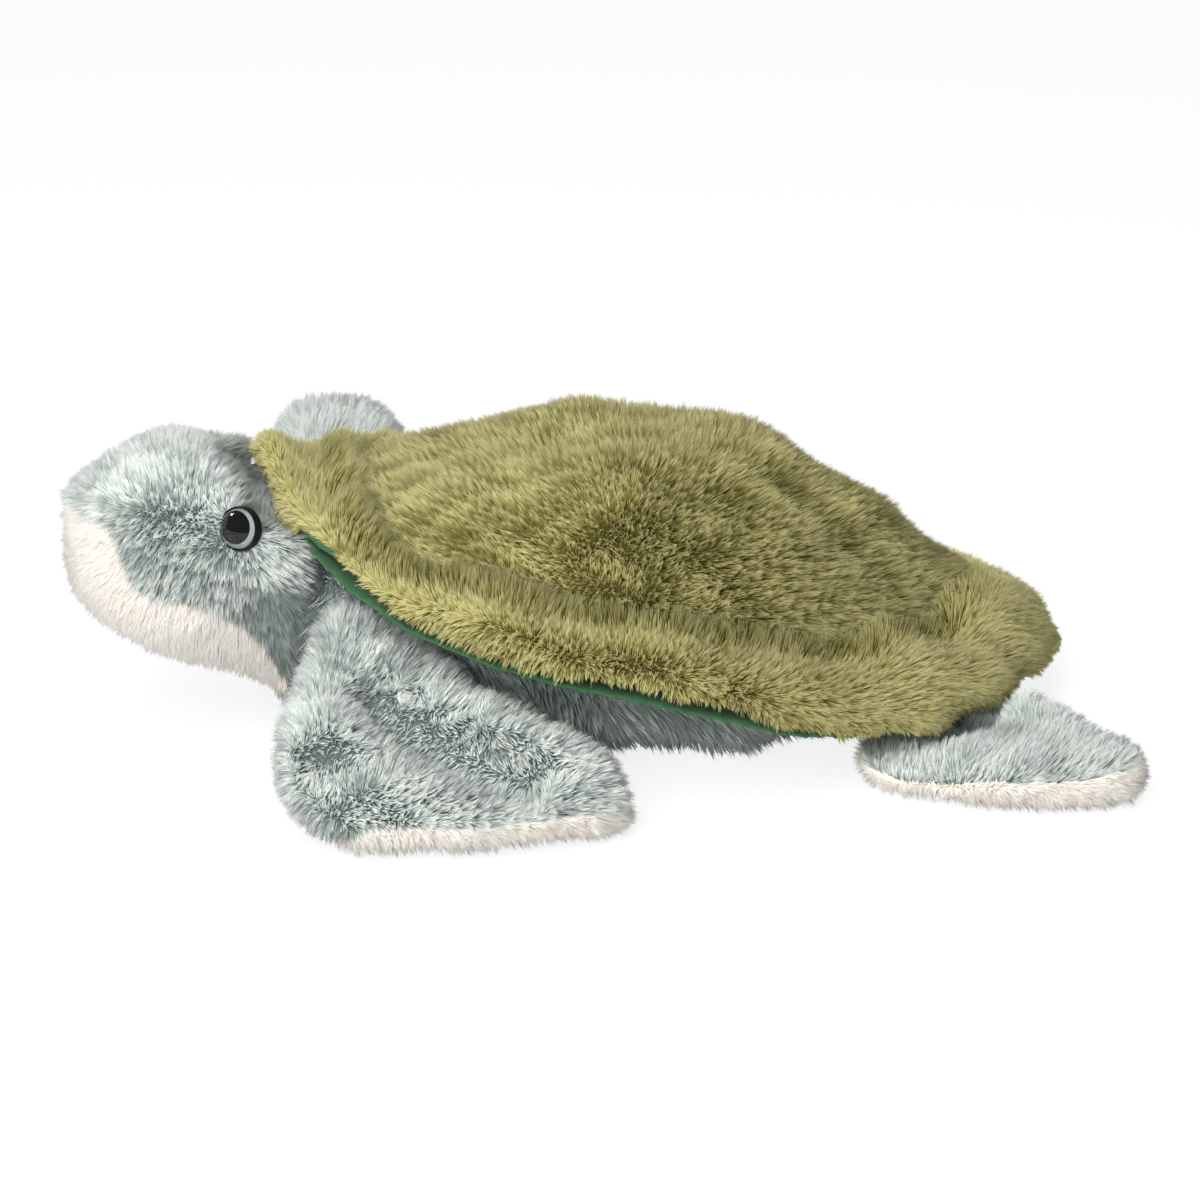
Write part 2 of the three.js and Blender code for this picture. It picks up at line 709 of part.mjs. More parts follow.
function headGroup() {
  const nose = neckX - headLength;
  const throat = new THREE.Vector3(neckX, 0, headBase + headHeight * throatSeamShare);
  const chinX = nose + headLength * muzzleDepthShare;
  const chin = new THREE.Vector3(chinX, 0, headBase + headHeight * chinSeamShare);
  const slope = throat.clone().sub(chin);
  const belowJaw = planeSeam({ normal: new THREE.Vector3(-slope.z, 0, slope.x), point: throat });
  const inFront = planeSeam({ normal: new THREE.Vector3(1, 0, 0), point: chin });
  const belowCrown = planeSeam({
    normal: new THREE.Vector3(0, 0, 1),
    point: new THREE.Vector3(0, 0, headBase + headHeight * muzzleTopShare),
  });
  const seam = (shift) => belowJaw(shift).add(inFront(shift).intersect(belowCrown(shift)));
  const places = { left: eyePlace(-1), right: eyePlace(1) };
  const solids = eyeSolids();
  const rooms = Object.values(places).map((place) => solids.room.transform(place.elements));
  const cut = (solid) => {
    const trimmed = limbCut(solid, hinges.head, envelope);
    return rooms.reduce((rest, room) => rest.subtract(room), trimmed);
  };
  const pieces = sewnPieces(headForm, seam, cut);
  const group = new THREE.Group();
  group.add(
    meshNamed("head_top_panel", pieces.top, finishes.grey),
    meshNamed("head_chin_panel", pieces.sole, finishes.cream),
    meshNamed("head_filling", pieces.filling, finishes.stuffing),
  );
  for (const [side, place] of Object.entries(places)) {
    const put = (piece, material) => {
      const placed = solids[piece].transform(place.elements);
      return meshNamed(`${side}_eye_${piece}`, placed, material);
    };
    group.add(
      put("shank", finishes.blackPlastic),
      put("iris", finishes.iris),
      put("lens", finishes.lens),
      put("washer", finishes.washer),
    );
  }
  return group;
}

const turtle = new THREE.Group();
turtle.add(bodyGroup(), shellGroup(), headGroup());
turtle.add(flipperGroup("front_left", flippers.frontLeft), flipperGroup("front_right", flippers.frontRight));
turtle.add(flipperGroup("rear_left", flippers.rearLeft), flipperGroup("rear_right", flippers.rearRight));

export default turtle;
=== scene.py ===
"""A plush sea turtle: sewn pouches of long fur cloth over stuffing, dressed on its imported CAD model.

Metres. The head points to -X, the turtle's left side is -Y and it lies on z = 0.
"""
import json
import math

import bmesh
import bpy
import numpy as np
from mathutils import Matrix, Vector


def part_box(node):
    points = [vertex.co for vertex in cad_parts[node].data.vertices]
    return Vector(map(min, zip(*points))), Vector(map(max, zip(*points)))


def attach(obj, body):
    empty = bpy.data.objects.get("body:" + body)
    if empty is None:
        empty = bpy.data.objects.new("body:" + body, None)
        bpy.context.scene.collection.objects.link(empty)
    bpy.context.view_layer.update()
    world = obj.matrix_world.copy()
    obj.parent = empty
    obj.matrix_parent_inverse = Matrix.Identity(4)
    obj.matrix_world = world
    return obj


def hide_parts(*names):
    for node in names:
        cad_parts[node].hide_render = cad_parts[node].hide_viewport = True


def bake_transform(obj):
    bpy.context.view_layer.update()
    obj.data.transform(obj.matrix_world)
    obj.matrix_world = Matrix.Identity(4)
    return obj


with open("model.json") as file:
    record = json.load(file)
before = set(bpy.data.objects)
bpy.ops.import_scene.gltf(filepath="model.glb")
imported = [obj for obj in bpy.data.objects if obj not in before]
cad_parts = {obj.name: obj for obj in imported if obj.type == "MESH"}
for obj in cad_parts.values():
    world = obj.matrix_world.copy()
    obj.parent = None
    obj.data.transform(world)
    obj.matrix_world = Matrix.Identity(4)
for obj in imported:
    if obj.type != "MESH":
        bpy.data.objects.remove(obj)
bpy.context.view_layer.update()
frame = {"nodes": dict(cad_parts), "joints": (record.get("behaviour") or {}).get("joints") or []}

# Camera. The turtle is seen from its left side and a little above, through a long lens that keeps
# the far side of the shell almost as large as the near one.
camera_azimuth = math.radians(-7)
camera_elevation = math.radians(20)
camera_distance = 1.6
camera_target = Vector((0, 0, 0.04))
towards_camera = Vector((
    math.sin(camera_azimuth) * math.cos(camera_elevation),
    -math.cos(camera_azimuth) * math.cos(camera_elevation),
    math.sin(camera_elevation),
))
camera = bpy.data.objects.new("camera", bpy.data.cameras.new("camera"))
camera.data.sensor_width = 36
camera.data.lens = 128
camera.data.clip_end = 20
camera.location = camera_target + camera_distance * towards_camera
camera.rotation_euler = towards_camera.to_track_quat("Z", "Y").to_euler()
bpy.context.scene.collection.objects.link(camera)
bpy.context.scene.camera = camera
bpy.context.scene.view_settings.view_transform = "Standard"


class Shade:
    """A socket of a material's nodes. Arithmetic on it adds Math nodes, and node() adds any other node."""

    def __init__(self, tree, socket=None):
        self.tree = tree
        self.socket = socket

    def node(self, kind, settings=(), inputs=(), stops=(), output=0):
        """One node: its settings are set first, then a ramp's stops, then its sockets."""
        made = self.tree.nodes.new(kind)
        for key, value in dict(settings).items():
            setattr(made, key, value)
        if stops:
            ramp = made.color_ramp
            while len(ramp.elements) < len(stops):
                ramp.elements.new(1)
            for element, (place, colour) in zip(ramp.elements, stops):
                element.position = place
                element.color = (*colour, 1)
        for key, value in dict(inputs).items():
            if isinstance(value, Shade):
                self.tree.links.new(value.socket, made.inputs[key])
            else:
                made.inputs[key].default_value = value
        return Shade(self.tree, made.outputs[output])

    def maths(self, operation, *values):
        return self.node("ShaderNodeMath", {"operation": operation}, enumerate(values))

    def __add__(self, other):
        return self.maths("ADD", self, other)

    def __mul__(self, other):
        return self.maths("MULTIPLY", self, other)

    def __pow__(self, other):
        return self.maths("POWER", self, other)

    def blended(self, low, high):
        """The colour low where this value is 0 and high where it is 1."""
        colours = {key: c if isinstance(c, Shade) else (*c, 1) for key, c in ((6, low), (7, high))}
        return self.node("ShaderNodeMix", {"data_type": "RGBA"}, {0: self, **colours}, output=2)


def finish(name, **fixed):
    """A material with a Principled shader whose fixed sockets are set, and a Shade to build on."""
    material = bpy.data.materials.new(name)
    material.use_nodes = True
    shader = material.node_tree.nodes["Principled BSDF"]
    for key, value in fixed.items():
        shader.inputs[key.replace("_", " ")].default_value = value
    return material, shader, Shade(material.node_tree)


def feed(shader, socket, value):
    shader.id_data.links.new(value.socket, shader.inputs[socket])


# Stage. A pale studio floor and a white surround. Camera rays see both at full white, and the floor
# still takes the turtle's shadow.
floor_half = 4
floor_mesh = bpy.data.meshes.new("floor")
floor_mesh.from_pydata(
    [(x * floor_half, y * floor_half, 0) for x, y in ((-1, -1), (1, -1), (1, 1), (-1, 1))], [], [(0, 1, 2, 3)]
)
floor = bpy.data.objects.new("floor", floor_mesh)
bpy.context.scene.collection.objects.link(floor)
floor_finish, floor_shader, shade = finish("studio_floor", Base_Color=(0.9, 0.9, 0.9, 1), Roughness=0.9)
floor_shader.inputs["Emission Color"].default_value = (1, 1, 1, 1)
seen = shade.node("ShaderNodeLightPath")
lifted = shade.node("ShaderNodeMixShader")
glow = shade.node("ShaderNodeEmission", inputs={"Color": (1, 1, 1, 1), "Strength": 1.06})
mixer = lifted.socket.node
floor_glow_share = 0.8
shade.tree.links.new((seen * floor_glow_share).socket, mixer.inputs[0])
shade.tree.links.new(floor_shader.outputs[0], mixer.inputs[1])
shade.tree.links.new(glow.socket, mixer.inputs[2])
shade.tree.links.new(lifted.socket, shade.tree.nodes["Material Output"].inputs["Surface"])
floor_mesh.materials.append(floor_finish)

world = bpy.data.worlds.new("studio")
bpy.context.scene.world = world
world.use_nodes = True
world_fill = 0.3
surround = Shade(world.node_tree)
is_camera = surround.node("ShaderNodeLightPath")
white_seen = is_camera * (1 - world_fill) + world_fill
background = world.node_tree.nodes["Background"]
world.node_tree.links.new(white_seen.socket, background.inputs["Strength"])
background.inputs["Color"].default_value = (1, 1, 1, 1)

# Only the small lamp shows in the glossy eyes, and it lights nothing else
for light_name, light_place, light_size, light_power, gleams in (
    ("key_softbox", (-0.55, -0.95, 1.45), 1.1, 22, False),
    ("overhead_softbox", (0.2, 0.3, 1.7), 1.2, 7, False),
    ("front_softbox", (-0.75, -1.75, 0.9), 1.0, 32, False),
    ("catch_light", (-0.84, 0.29, 0.71), 0.2, 16, True),
):
    lamp = bpy.data.objects.new(light_name, bpy.data.lights.new(light_name, "AREA"))
    lamp.data.size = light_size
    lamp.data.energy = light_power
    lamp.location = light_place
    lamp.rotation_euler = (lamp.location - camera_target).to_track_quat("Z", "Y").to_euler()
    lamp.visible_glossy = gleams
    lamp.visible_diffuse = not gleams
    bpy.context.scene.collection.objects.link(lamp)


# Body. One long stuffed pouch of blue-grey fur cloth with a cream belly, closed by hand under the
# shell. Its skin is drawn from the CAD panels and stuffing, and its pile is a coat of tapered strands.
def placed(name, mesh, material):
    piece = bpy.data.objects.new(name, mesh)
    bpy.context.scene.collection.objects.link(piece)
    mesh.materials.append(material)
    return piece


def unit(vectors):
    return vectors / np.maximum(np.linalg.norm(vectors, axis=-1, keepdims=True), 1e-9)


def lumps(points, outward, height=0.0012, size=0.05):
    """Stuffing never lies quite even: the surface rises and falls by a wave of broad lumps."""
    return height * ripple(points, size, 8)[0][:, None] * outward


def stuffed_skin(name, nodes, material, voxel, sink, smoothing=8, shape=lumps):
    """A skin over joined solids: their voxel surface, smoothed, and shaped by a function of its points
    and outward directions. It gives the skin, those points and directions. The skin itself lies a
    sink below the points, at the foot of the pile."""
    joined = bmesh.new()
    for node in nodes:
        joined.from_mesh(frame["nodes"][node].data)
    bmesh.ops.remove_doubles(joined, verts=joined.verts, dist=1e-6)
    rough = bpy.data.meshes.new(name + "_rough")
    joined.to_mesh(rough)
    joined.free()
    draft = bpy.data.objects.new(name + "_draft", rough)
    bpy.context.scene.collection.objects.link(draft)
    remesh = draft.modifiers.new("voxels", "REMESH")
    remesh.mode = "VOXEL"
    remesh.voxel_size = voxel
    smooth = draft.modifiers.new("smooth", "SMOOTH")
    smooth.factor = 0.5
    smooth.iterations = smoothing
    bpy.context.view_layer.update()
    mesh = bpy.data.meshes.new_from_object(draft.evaluated_get(bpy.context.evaluated_depsgraph_get()))
    mesh.name = name
    bpy.data.objects.remove(draft)
    points = np.empty((len(mesh.vertices), 3))
    outward = np.empty((len(mesh.vertices), 3))
    mesh.vertices.foreach_get("co", points.ravel())
    mesh.vertex_normals.foreach_get("vector", outward.ravel())
    points = points + shape(points, outward)
    mesh.vertices.foreach_set("co", points.ravel())
    mesh.update()
    mesh.vertex_normals.foreach_get("vector", outward.ravel())
    depth = sink(points, outward)[:, None] if callable(sink) else sink
    mesh.vertices.foreach_set("co", (points - depth * outward).ravel())
    mesh.polygons.foreach_set("use_smooth", np.ones(len(mesh.polygons), bool))
    mesh.update()
    mesh.materials.clear()
    skin = placed(name, mesh, material)
    return skin, points, outward


def second_cloth(skin, material, chosen):
    """Gives another cloth to the faces that start at the chosen points."""
    starts = np.empty(len(skin.data.polygons), int)
    skin.data.polygons.foreach_get("loop_start", starts)
    corners = np.empty(len(skin.data.loops), int)
    skin.data.loops.foreach_get("vertex_index", corners)
    skin.data.materials.append(material)
    skin.data.polygons.foreach_set("material_index", chosen[corners[starts]].astype(np.int32))


def ripple(points, size, seed, waves=14):
    """A sum of sine waves about size long in seeded directions: its height and its slope, both near 1."""
    waver = np.random.default_rng(seed)
    way = unit(waver.normal(size=(waves, 3))) * waver.uniform(0.7, 1.4, (waves, 1))
    angle = points @ way.T * (2 * math.pi / size) + waver.uniform(0, 2 * math.pi, waves)
    scale = math.sqrt(2 / waves)
    return np.sin(angle).sum(1) * scale, np.cos(angle) @ way * scale


def cover(outward):
    """How dense the pile is, from 1 where it faces up or sideways to 0.4 where it faces down."""
    return np.clip(2 + 2 * outward[:, 2], 0.4, 1)


def scatter(skin, surface, outward, per_mm2, seed):
    """Strand roots on a skin, where each triangle takes its share of the area and each root a random
    place on it: the roots, the points of the surface above them and the outward directions."""
    mesh = skin.data
    mesh.calc_loop_triangles()
    corners = np.empty(len(mesh.loop_triangles) * 3, int)
    mesh.loop_triangles.foreach_get("vertices", corners)
    points = np.empty((len(mesh.vertices), 3))
    mesh.vertices.foreach_get("co", points.ravel())
    points, above, facing = (values[corners].reshape(-1, 3, 3) for values in (points, surface, outward))
    area = np.linalg.norm(np.cross(above[:, 1] - above[:, 0], above[:, 2] - above[:, 0]), axis=1) / 2
    area *= cover(facing.mean(1))
    rng = np.random.default_rng(seed)
    chosen = rng.choice(len(area), int(area.sum() * 1e6 * per_mm2), p=area / area.sum())
    a, b = rng.random((2, len(chosen)))
    over = a + b > 1
    a[over], b[over] = 1 - a[over], 1 - b[over]
    share = np.stack([1 - a - b, a, b], 1)[:, :, None]
    roots, above, facing = ((values[chosen] * share).sum(1) for values in (points, above, facing))
    return roots, above, unit(facing), rng


# Wave lengths of the tufts, locks and swirls in the pile, and how far each leans the strands
gathers = ((0.0022, 0.095, 5), (0.0052, 0.1, 6), (0.021, 0.13, 7))
# How far single strands stray from their neighbours
stray = 0.045
pile_length = 0.0078


def coat(name, roots, outward, lean, material, rng, length, parts=1, girth=0.000285, tuft=1.0, shift=0):
    """Pile of tapered three-sided strands, shared out by bearing between parts meshes. A strand's tip
    is at p + L unit(n + lean), where n points out of the skin. The slopes of three waves tip
    neighbours together into tufts, locks and swirls. Its sides are shaded partly as the skin is, as
    soft pile is, and its map holds its tone across and root to tip upwards. A shift below 0 makes the
    tone paler and one above 0 deeper: the callers paint light and shade into the pile with it."""
    lean = lean + rng.normal(0, stray, roots.shape)
    crests = np.zeros(len(roots))
    for size, gather, seed in gathers:
        crest, slope = ripple(roots, size, seed)
        lean += tuft * gather * slope
        crests += crest
    lean -= (lean * outward).sum(1, keepdims=True) * outward
    way = unit(outward + lean)
    reach = length if np.ndim(length) == 0 else length[:, None]
    reach = reach * rng.uniform(0.78, 1.1, (len(roots), 1)) * (1 + 0.05 * crests[:, None])
    across = unit(np.cross(way, rng.normal(size=roots.shape)))
    third = np.cross(way, across)
    thick = girth * rng.uniform(0.7, 1.3, (len(roots), 1)) / cover(outward)[:, None] ** 0.7
    spots = np.empty((len(roots), 4, 3))
    shading = np.empty((len(roots), 4, 3))
    for corner, angle in enumerate((0, 2 * math.pi / 3, 4 * math.pi / 3)):
        radial = math.cos(angle) * across + math.sin(angle) * third
        spots[:, corner] = roots + thick * radial
        shading[:, corner] = unit(0.5 * outward + 0.65 * radial)
    spots[:, 3] = roots + reach * way
    shading[:, 3] = unit(0.8 * outward + 0.3 * way)
    spots[:, :, 2] = np.maximum(spots[:, :, 2], 0.0004)
    # Painted light and shade: strands on the crests of the tufts are paler and those between them deeper, on
    # top of a random tone for each strand
    tone = 0.5 + shift + 0.17 * rng.normal(size=len(roots)) - 0.12 * crests
    tone = np.clip(tone, 0.03, 0.97)
    middle = (roots.min(0) + roots.max(0)) / 2
    bearing = np.argsort(np.arctan2(roots[:, 1] - middle[1], roots[:, 0] - middle[0]))
    corners = np.array([0, 1, 3, 1, 2, 3, 2, 0, 3])
    across_map = np.array([-1, 1, 0] * 3) * 0.025
    up_map = np.array([0.03, 0.03, 0.97] * 3)
    pieces = []
    for number, chosen in enumerate(np.array_split(bearing, parts)):
        count = len(chosen)
        mesh = bpy.data.meshes.new(name)
        mesh.vertices.add(count * 4)
        mesh.vertices.foreach_set("co", spots[chosen].ravel())
        mesh.loops.add(count * 9)
        mesh.loops.foreach_set("vertex_index", (np.arange(count)[:, None] * 4 + corners).ravel())
        mesh.polygons.add(count * 3)
        mesh.polygons.foreach_set("loop_start", np.arange(count * 3) * 3)
        mesh.update(calc_edges=True)
        mesh.polygons.foreach_set("use_smooth", np.ones(count * 3, bool))
        mesh.normals_split_custom_set_from_vertices(shading[chosen].reshape(-1, 3).astype(np.float32))
        place = np.empty((count, 9, 2))
        place[:, :, 0] = tone[chosen][:, None] + across_map
        place[:, :, 1] = up_map
        mesh.uv_layers.new(name="OFBake").data.foreach_set("uv", place.ravel())
        pieces.append(placed(f"{name}_{number + 1}" if parts > 1 else name, mesh, material))
    return pieces


def pile_finish(name, root, middle, tip, deep):
    """Pile colour by the strand's own map: dark at the root and pale at the tip, deeper on some."""
    material, shader, shade = finish(name, Roughness=0.8, Specular_IOR_Level=0.1)
    sheet = shade.node("ShaderNodeUVMap", {"uv_map": "OFBake"})
    tone = sheet.node("ShaderNodeSeparateXYZ", inputs={0: sheet})
    height = Shade(shade.tree, tone.socket.node.outputs[1])
    stops = ((0.08, root), (0.5, middle), (0.95, tip))
    pile = height.node("ShaderNodeValToRGB", inputs={0: height}, stops=stops)
    feed(shader, "Base Color", (tone ** 1.5 * 0.9).blended(pile, deep))
    return material


def cloth_finish(name, dark, light):
    """The knitted backing below the pile: a mottled short nap with a fine bump."""
    material, shader, shade = finish(name, Roughness=0.95, Specular_IOR_Level=0.15)
    place = shade.node("ShaderNodeTexCoord", output=3)
    nap = place.node("ShaderNodeTexNoise", inputs={"Vector": place, "Scale": 900, "Detail": 2})
    patch = place.node("ShaderNodeTexNoise", inputs={"Vector": place, "Scale": 60, "Detail": 2})
    feed(shader, "Base Color", (nap * 0.6 + patch * 0.4).blended(dark, light))
    bump = nap.node("ShaderNodeBump", inputs={"Height": nap, "Strength": 0.6, "Distance": 0.001})
    feed(shader, "Normal", bump)
    return material


def dress(pieces, body=None):
    """Every piece of a coat rides on a body, or else has its placement baked into its mesh."""
    for piece in pieces:
        if body:
            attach(piece, body)
        else:
            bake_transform(piece)


grey_pile = pile_finish(
    "grey_pile", (0.14, 0.17, 0.155), (0.56, 0.62, 0.585), (0.95, 0.98, 0.94), deep=(0.19, 0.23, 0.21)
)
cream_pile = pile_finish(
    "cream_pile", (0.86, 0.78, 0.69), (0.96, 0.92, 0.86), (0.99, 0.975, 0.94), deep=(0.93, 0.86, 0.77)
)
grey_cloth = cloth_finish("grey_cloth", (0.12, 0.15, 0.145), (0.22, 0.27, 0.26))
cream_cloth = cloth_finish("cream_cloth", (0.55, 0.46, 0.39), (0.75, 0.66, 0.58))
down = np.array([0, 0, -1.0])
rearwards = np.array([1.0, 0, 0])

body_nodes = ("body_side_panel", "belly_panel", "body_filling")


def shouldered(points, outward):
    """The body swells beside the neck, where the front flippers are sewn on, by exp of minus the squares
    of the distances along and up from the swelling's middle, each over a width."""
    swell = 0.009 * np.exp(-(((points[:, 0] + 0.09) / 0.018) ** 2) - ((points[:, 2] - 0.058) / 0.02) ** 2)
    return lumps(points, outward) + (swell * np.abs(outward[:, 1]))[:, None] * outward


def body_sink(points, outward):
    """The neck end stands out to meet the head."""
    neck = np.clip(-0.5 - outward[:, 0], 0, 0.3) / 0.3 * (points[:, 0] < -0.09)
    return 0.0075 - 0.0075 * neck


body_skin, surface, outward = stuffed_skin(
    "body_skin", body_nodes, grey_cloth, voxel=0.004, sink=body_sink, shape=shouldered
)
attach(body_skin, "root")
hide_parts(*body_nodes)
belly_seam = 0.005
second_cloth(body_skin, cream_cloth, surface[:, 2] < belly_seam)
roots, surface, outward, rng = scatter(body_skin, surface, outward, 1.15, 11)
shell_height = 0.08
upper = (surface[:, 2] > belly_seam) & (surface[:, 2] < shell_height)
lower = surface[:, 2] <= belly_seam
body_girth = 0.0004
lean = 0.3 * down + 0.5 * rearwards
# Painted shade: the pile is darker under the shell, where its shadow falls, than at the shoulders
shaded = 0.5 - 0.5 * np.exp(-(((roots[:, 0] + 0.09) / 0.016) ** 2))
body_pile = coat(
    "body_pile", roots[upper], outward[upper], lean, grey_pile, rng, length=0.009, parts=2,
    girth=body_girth, shift=shaded[upper],
)
dress(body_pile, body="root")
lean = 0.5 * unit(roots * (1, 1, 0))
belly_pile = coat(
    "belly_pile", roots[lower], outward[lower], lean[lower], cream_pile, rng, length=0.0065, girth=body_girth
)
dress(belly_pile, body="root")


# Head. A round stuffed pouch: blue-grey fur over the crown and cheeks, cream fur over the muzzle,
# chin and throat. It is sewn on along a seam at the neck.
def middle_of(node):
    low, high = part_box(node)
    return np.array((low + high) / 2)


# Each eye's front and the way it looks, turned a little to the nose from its stem
eye_turn = 0.22
eye_depth = 0.001
eyes = {}
for side in ("left", "right"):
    back = middle_of(side + "_eye_washer")
    stem = unit(middle_of(side + "_eye_lens") - back)
    front = back + stem * ((middle_of(side + "_eye_iris") - back) @ stem - eye_depth)
    eyes[side] = (front, unit(stem - (eye_turn, 0, 0)))
eye_radius = 0.008


# The height that the head's surface keeps below, along its length
crown_x = (-0.205, -0.195, -0.184, -0.173, -0.163, -0.152, -0.141, -0.130, -0.120, -0.108)
crown_z = (0.106, 0.1075, 0.112, 0.1175, 0.1202, 0.1205, 0.119, 0.115, 0.108, 0.098)


# The lower edge of the cheek's swelling, towards the neck, and how far the throat lies inside it
throat_x = (-0.156, -0.148, -0.139, -0.128, -0.119, -0.112)
throat_z = (0.050, 0.056, 0.060, 0.066, 0.078, 0.092)


def throat_share(points):
    behind = np.clip((points[:, 0] + 0.156) / 0.012, 0, 1)
    return behind * np.clip((np.interp(points[:, 0], throat_x, throat_z) - points[:, 2]) / 0.008, 0, 1)


def head_shape(points, outward):
    """The crown is round and keeps softly below a height along the head, lower towards its sides. A
    point that rises over by h comes down by half the sum of h and the root of h squared plus 9 mm squared."""
    top = np.interp(points[:, 0], crown_x, crown_z)
    top = 0.06 + (top - 0.06) * np.sqrt(np.maximum(1 - (points[:, 1] / 0.06) ** 2, 0.1))
    over = points[:, 2] - top
    high = (over + np.sqrt(over**2 + 0.009**2)) / 2
    return lumps(points, outward) + high[:, None] * down


def nape_share(points, outward):
    """1 on the head's steep rear face, behind the eyes, and 0 elsewhere."""
    rear_face = np.clip((outward[:, 0] + 0.1) / 0.5, 0, 1) * np.clip((0.7 - outward[:, 2]) / 0.4, 0, 1)
    return rear_face * np.clip((points[:, 0] + 0.142) / 0.008, 0, 1)


def head_sink(points, outward):
    """The pile is short round the eyes and on the nape, so the skin comes closer to the surface there.
    The back of the head reaches into the neck."""
    near = np.min([np.linalg.norm(points - front, axis=1) for front, _ in eyes.values()], axis=0)
    neck = np.clip(outward[:, 0] / 0.5, 0, 1) * np.clip((points[:, 0] + 0.14) / 0.012, 0, 1)
    neck *= np.clip((0.09 - points[:, 2]) / 0.01, 0, 1)
    depth = 0.0092 + 0.0022 * np.clip((-0.165 - points[:, 0]) / 0.03, 0, 1)
    depth -= 0.004 * np.clip(-2 * outward[:, 2], 0, 1)
    depth -= (depth - 0.003) * np.exp(-((near / 0.016) ** 2))
    depth += 0.008 * throat_share(points) * np.clip(outward[:, 2] + 1, 0, 1)
    depth -= (depth + 0.0005) * nape_share(points, outward)
    return depth * (1 - neck) - 0.005 * neck


head_nodes = ("head_top_panel", "head_chin_panel", "head_filling")
plugs = ("left_eye_shank", "right_eye_shank")
head_skin, surface, outward = stuffed_skin(
    "head_skin", head_nodes + plugs, grey_cloth, voxel=0.004, sink=head_sink, shape=head_shape
)
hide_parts(*head_nodes)

# The lower edge of the grey fur, from the nose along the cheek to the throat
cheek_edge_x = (
    -0.205, -0.192, -0.186, -0.182, -0.179, -0.176, -0.168, -0.158, -0.146, -0.138, -0.130, -0.112,
)
cheek_edge_z = (0.091, 0.089, 0.087, 0.081, 0.069, 0.064, 0.061, 0.060, 0.057, 0.050, 0.042, 0.010)


def muzzle(points):
    return points[:, 2] < np.interp(points[:, 0], cheek_edge_x, cheek_edge_z)


second_cloth(head_skin, cream_cloth, muzzle(surface))
roots, surface, outward, rng = scatter(head_skin, surface, outward, 3.6, 21)
lean = np.zeros_like(roots)
length = pile_length * (1 - 0.1 * nape_share(surface, outward))
clear = np.ones(len(roots), bool)
for side, sign in (("left", -1), ("right", 1)):
    front, look = eyes[side]
    off = roots - front
    depth = off @ look
    off -= depth[:, None] * look
    away = np.linalg.norm(off, axis=1)
    this_side = np.clip(0.5 + sign * roots[:, 1] / 0.02, 0, 1)
    spread = 0.15 + 0.5 * np.exp(-((away / 0.024) ** 2)) - 0.3 * np.exp(-((away / 0.010) ** 2))
    lean += (this_side * spread)[:, None] * unit(off)
    clear &= (away > eye_radius * 0.93) | (np.abs(depth) > 0.012)
    length *= 1 - 0.45 * this_side * np.exp(-((away / 0.013) ** 2))
lean += 0.2 * down + 0.1 * rearwards
grey = ~muzzle(surface)
chosen = clear & grey
# Painted shade darkens the pile on the throat below the cheek and on the sides of the head, and painted light
# pales the upper nape, which faces away from the lamps
painted_head_shading = 0.6 * throat_share(surface) + 0.15 * np.clip(2 * np.abs(outward[:, 1]) - 0.8, 0, 1) - 0.1
painted_head_shading -= 0.4 * nape_share(surface, outward) * (surface[:, 2] > 0.07)
head_pile = coat(
    "head_pile", roots[chosen], outward[chosen], lean[chosen], grey_pile, rng, length[chosen], parts=2,
    shift=painted_head_shading[chosen],
)
chosen = clear & ~grey
chin_pile = coat(
    "chin_pile", roots[chosen], outward[chosen], lean[chosen], cream_pile, rng, 0.85 * length[chosen],
    tuft=0.6,
)
dress([head_skin] + head_pile)
dress(chin_pile)


# Safety eyes. Domed eyes with a black cup and stem pushed through the cloth and locked by a washer
# inside; a grey ring is painted round the pupil under a clear dome.
def turned_about(name, centre, way, outline, material, around=48):
    """A profile of (radius, height) pairs carried once round the axis through centre along way."""
    radius, height = np.array(outline).T
    across = unit(np.cross(way, (0, 0, 1.0)))
    third = np.cross(way, across)
    angle = np.linspace(0, 2 * math.pi, around, endpoint=False)
    ring = np.cos(angle)[:, None] * across + np.sin(angle)[:, None] * third
    points = centre + radius[:, None, None] * ring + (height[:, None] * way)[:, None]
    rows, columns = np.meshgrid(np.arange(len(outline) - 1) * around, np.arange(around), indexing="ij")
    beside = (columns + 1) % around
    faces = np.stack([rows + columns, rows + beside, rows + around + beside, rows + around + columns], -1)
    mesh = bpy.data.meshes.new(name)
    mesh.from_pydata(points.reshape(-1, 3).tolist(), [], faces.reshape(-1, 4).tolist())
    shape = bmesh.new()
    shape.from_mesh(mesh)
    bmesh.ops.remove_doubles(shape, verts=shape.verts, dist=1e-6)
    bmesh.ops.recalc_face_normals(shape, faces=shape.faces)
    shape.to_mesh(mesh)
    shape.free()
    mesh.polygons.foreach_set("use_smooth", np.ones(len(mesh.polygons), bool))
    return placed(name, mesh, material)


eye_black, shader, shade = finish("eye_black", Roughness=0.5, Specular_IOR_Level=0.12)
place = shade.node("ShaderNodeTexCoord", output=3)
haze = place.node("ShaderNodeTexNoise", inputs={"Vector": place, "Scale": 300, "Detail": 3})
feed(shader, "Base Color", haze.blended((0.004, 0.004, 0.004), (0.012, 0.012, 0.012)))
eye_clear, shader, shade = finish("eye_clear", Roughness=0.01, Transmission_Weight=1, IOR=1.45)
shader.inputs["Base Color"].default_value = (1, 1, 1, 1)
washer_white, shader, shade = finish("washer_white", Roughness=0.5)
place = shade.node("ShaderNodeTexCoord", output=3)
mould = place.node("ShaderNodeTexNoise", inputs={"Vector": place, "Scale": 500})
feed(shader, "Base Color", mould.blended((0.78, 0.78, 0.76), (0.88, 0.88, 0.87)))
pupil_radius = 0.0049


